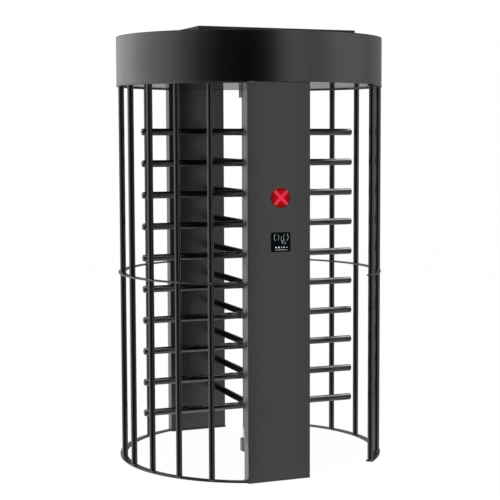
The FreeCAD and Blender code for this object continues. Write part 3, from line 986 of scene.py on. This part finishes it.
def bar_symbol(x, y, length, width, angle=0.0):
    """Bar with round ends on the XY plane."""
    bm = bmesh.new()
    bmesh.ops.create_grid(bm, x_segments=1, y_segments=1, size=0.5)
    bmesh.ops.scale(bm, vec=(length, width, 1.0), verts=bm.verts)
    bmesh.ops.bevel(bm, geom=bm.verts[:], offset=width * 0.45, segments=4, profile=0.5,
                    affect="VERTICES", material=-1, clamp_overlap=True)
    place = Matrix.Translation((x, y, symbol_lift)) @ Matrix.Rotation(math.radians(angle), 4, "Z")
    bmesh.ops.transform(bm, matrix=place, verts=bm.verts)
    return thicken(bm, symbol_rise)


def symbol_piece(name, shapes, finish):
    """Gather symbols into one piece on the reader's front."""
    bm = bmesh.new()
    for shape in shapes:
        stamp(shape, bm=bm)
    piece(name, facing_front(bm, reader_middle), "frame", "reader_gloss", finish=finish)
    print(name, "has", len(shapes), "symbols")


wave_height = 0.0242
waves = []
for side in (-1, 1):
    waves += [wave(side * 0.0145, wave_height, 0.0239, 46, side, 0.0013),
              wave(side * 0.0320, wave_height, 0.0191, 48, -side, 0.0010)]
finger_bars = ((0.0045, 0.0035, 0.017, 0.0018, 118), (0.0125, 0.0085, 0.010, 0.0018, 60),
               (0.0085, -0.005, 0.010, 0.0018, 128))
palm = wave(0.0135, -0.0035, 0.0095, 50, 1, 0.0014)
hand = [bar_symbol(*row) for row in finger_bars] + [palm]
symbol_piece("reader_waves", waves + hand, symbol_grey)

pip_row = -0.0269
pip_bars = ((-0.0285, pip_row, 0.0078, 0.005, 50), (-0.0129, pip_row, 0.0078, 0.0078),
            (0.0019, pip_row, 0.003, 0.0074), (0.0159, pip_row, 0.0062, 0.0062),
            (0.0316, pip_row, 0.0056, 0.0034))
symbol_piece("reader_pips", [bar_symbol(*row) for row in pip_bars], symbol_white)
symbol_piece("reader_light_bar", [bar_symbol(0.0008, -0.0398, 0.066, 0.0016)], symbol_grey)
symbol_piece("reader_card_symbol", [bar_symbol(0.0005, 0.0215, 0.018, 0.0062, 80)], symbol_green)

# %% [markdown]
# A near black finish shows little but the room that it mirrors, so the room is part of the look.
# The studio here is a wide round wall that only reflections can see: dark on the side that the
# photographer stands on, bright to the left, paler to the right and dim behind. Its brightness is
# a ramp over the angle round the object, fixed to the room and not to the camera. A stop of the
# ramp is an angle in degrees and a level.

# %% Studio wall
wall_radius = 6.0
wall_height = 11.1
wall_foot = -3.5
stage_steps = 96
photographer = math.degrees(math.atan2(-camera_looks.y, -camera_looks.x))
wall_levels = [
    (-180, 0.38), (-160, 0.42), (-140, 0.98), (-113, 1.5), (-95, 1.25), (-80, 1.03), (-65, 0.84),
    (-50, 0.445), (-36, 0.184), (-20, 0.045), (0, 0.008), (10, 0.042), (20, 0.15), (28, 0.49),
    (36, 0.69), (44, 0.7), (52, 0.58), (58, 0.6), (65, 0.66), (80, 0.87), (100, 0.72),
    (118, 0.44), (134, 0.38), (150, 0.28), (180, 0.38),
]


def plain_glow(name):
    """Material that only gives light, and the node that gives it."""
    material = bpy.data.materials.new(name)
    material.use_nodes = True
    material.node_tree.nodes.clear()
    glow = add_node(material, "Emission")
    add_node(material, "OutputMaterial", Surface=glow.outputs["Emission"])
    return material, glow


def wall_finish():
    material, glow = plain_glow("studio_wall")
    aim = object_place(material, Rotation=(0, 0, math.radians(-photographer)))
    angle = add_node(material, "TexGradient", Vector=aim)
    angle.gradient_type = "RADIAL"
    greys = [(degrees / 360 + 0.5, (level, level, level)) for degrees, level in wall_levels]
    colour_ramp(material, angle.outputs["Color"], greys, glow.inputs["Color"])
    return material


def stage_object(name, bm, material):
    made = as_object(name, bm, material)
    return made


def only_mirrored(thing):
    """Hide a part of the studio from everything but reflections."""
    thing.visible_camera = False
    thing.visible_diffuse = False
    thing.visible_transmission = False
    thing.visible_shadow = False


wall_middle = Matrix.Translation((0, 0, wall_foot + wall_height / 2))
wall_mesh = bmesh.new()
bmesh.ops.create_cone(wall_mesh, cap_ends=False, segments=stage_steps, radius1=wall_radius,
                      radius2=wall_radius, depth=wall_height, matrix=wall_middle)
only_mirrored(stage_object("studio_wall", wall_mesh, wall_finish()))
print("studio wall at", wall_radius, "m")

# %% [markdown]
# Overhead hangs one wide round softbox. The canopy shades most of the rotor from it, but the
# outer halves of the lower arms mirror it as a fine white line along their tops. Under everything
# lies a pale sheet, which the lower sides of the tubes mirror. Each is one circle, and its edge
# is a ramp on the distance from its middle.

# %% Softbox above and sheet below
softbox_radius = 5.85
softbox_edge = 0.03
softbox_level = 6.5
sheet_level = 1.1
dark_level = 0.02


def disc_finish(name, level):
    material, glow = plain_glow(name)
    links = material.node_tree.links
    distance = add_node(material, "VectorMath")
    distance.operation = "LENGTH"
    links.new(object_place(material, Scale=(1.0, 1.0, 0.0)), distance.inputs[0])
    strength = map_range(material, distance.outputs["Value"],
                         From_Min=softbox_radius * (1 - softbox_edge),
                         From_Max=softbox_radius * (1 + softbox_edge),
                         To_Min=level, To_Max=dark_level)
    links.new(strength, glow.inputs["Strength"])
    return material


def disc_at(height, radius):
    bm = bmesh.new()
    bmesh.ops.create_circle(bm, cap_ends=True, segments=stage_steps, radius=radius)
    bmesh.ops.translate(bm, vec=(0, 0, height), verts=bm.verts)
    return bm


for name, height, level in (("studio_softbox", wall_foot + wall_height, softbox_level),
                            ("studio_sheet", wall_foot, sheet_level)):
    only_mirrored(stage_object(name, disc_at(height, wall_radius), disc_finish(name, level)))
    print(name, "at", height, "m")

# %% [markdown]
# The floor and the world are plain white wherever the camera, a reflection or glass looks at
# them. The floor keeps a trace of its real shading, which is what leaves a faint shadow under the
# cage. Two large soft lamps and a pale world light the object evenly. The floor and the lamps are
# hidden from reflections, which the wall, the softbox and the sheet serve.

# %% Floor, world and lamps
floor_radius = 14.0
floor_height = -0.0005
floor_grey = (0.86, 0.86, 0.86)
white_share = 0.975
world_lighting = 0.75
lamps_look_at = Vector((0, 0, 1))


def seen_directly(owner):
    """1 for rays that look straight at a surface, mirror it or pass through glass, else 0."""
    path = add_node(owner, "LightPath")
    total = path.outputs["Is Camera Ray"]
    for kind in ("Is Glossy Ray", "Is Transmission Ray"):
        total = math_node(owner, "MAXIMUM", total, path.outputs[kind])
    return total


def floor_finish():
    material, shader = new_finish("studio_floor", floor_grey, 0.0, roughness=0.8)
    links = material.node_tree.links
    share = math_node(material, "MULTIPLY", seen_directly(material), white_share)
    mix = add_node(material, "MixShader", Fac=share)
    output = material.node_tree.nodes["Material Output"]
    links.new(shader.outputs["BSDF"], mix.inputs[1])
    links.new(add_node(material, "Emission").outputs["Emission"], mix.inputs[2])
    links.new(mix.outputs["Shader"], output.inputs["Surface"])
    return material


floor = stage_object("studio_floor", disc_at(floor_height, floor_radius), floor_finish())
floor.visible_glossy = False

world = bpy.data.worlds.new("studio")
world.use_nodes = True
bpy.context.scene.world = world
backdrop = world.node_tree.nodes["Background"]
backdrop.inputs["Color"].default_value = (1.0, 1.0, 1.0, 1.0)
strength = map_range(world, seen_directly(world), To_Min=world_lighting, To_Max=1.0)
world.node_tree.links.new(strength, backdrop.inputs["Strength"])


def soft_lamp(name, place, size, power):
    data = bpy.data.lights.new(name, "AREA")
    data.size = size
    data.energy = power
    lamp = bpy.data.objects.new(name, data)
    lamp.location = place
    lamp.rotation_mode = "QUATERNION"
    lamp.rotation_quaternion = (lamps_look_at - Vector(place)).to_track_quat("-Z", "Y")
    lamp.visible_glossy = False
    bpy.context.scene.collection.objects.link(lamp)


soft_lamp("key_lamp", place=(-5.0, -4.0, 5.0), size=3.0, power=260.0)
soft_lamp("fill_lamp", place=(5.0, -3.0, 4.0), size=4.0, power=120.0)
print("floor is", 2 * floor_radius, "m across, and two soft lamps light the object")
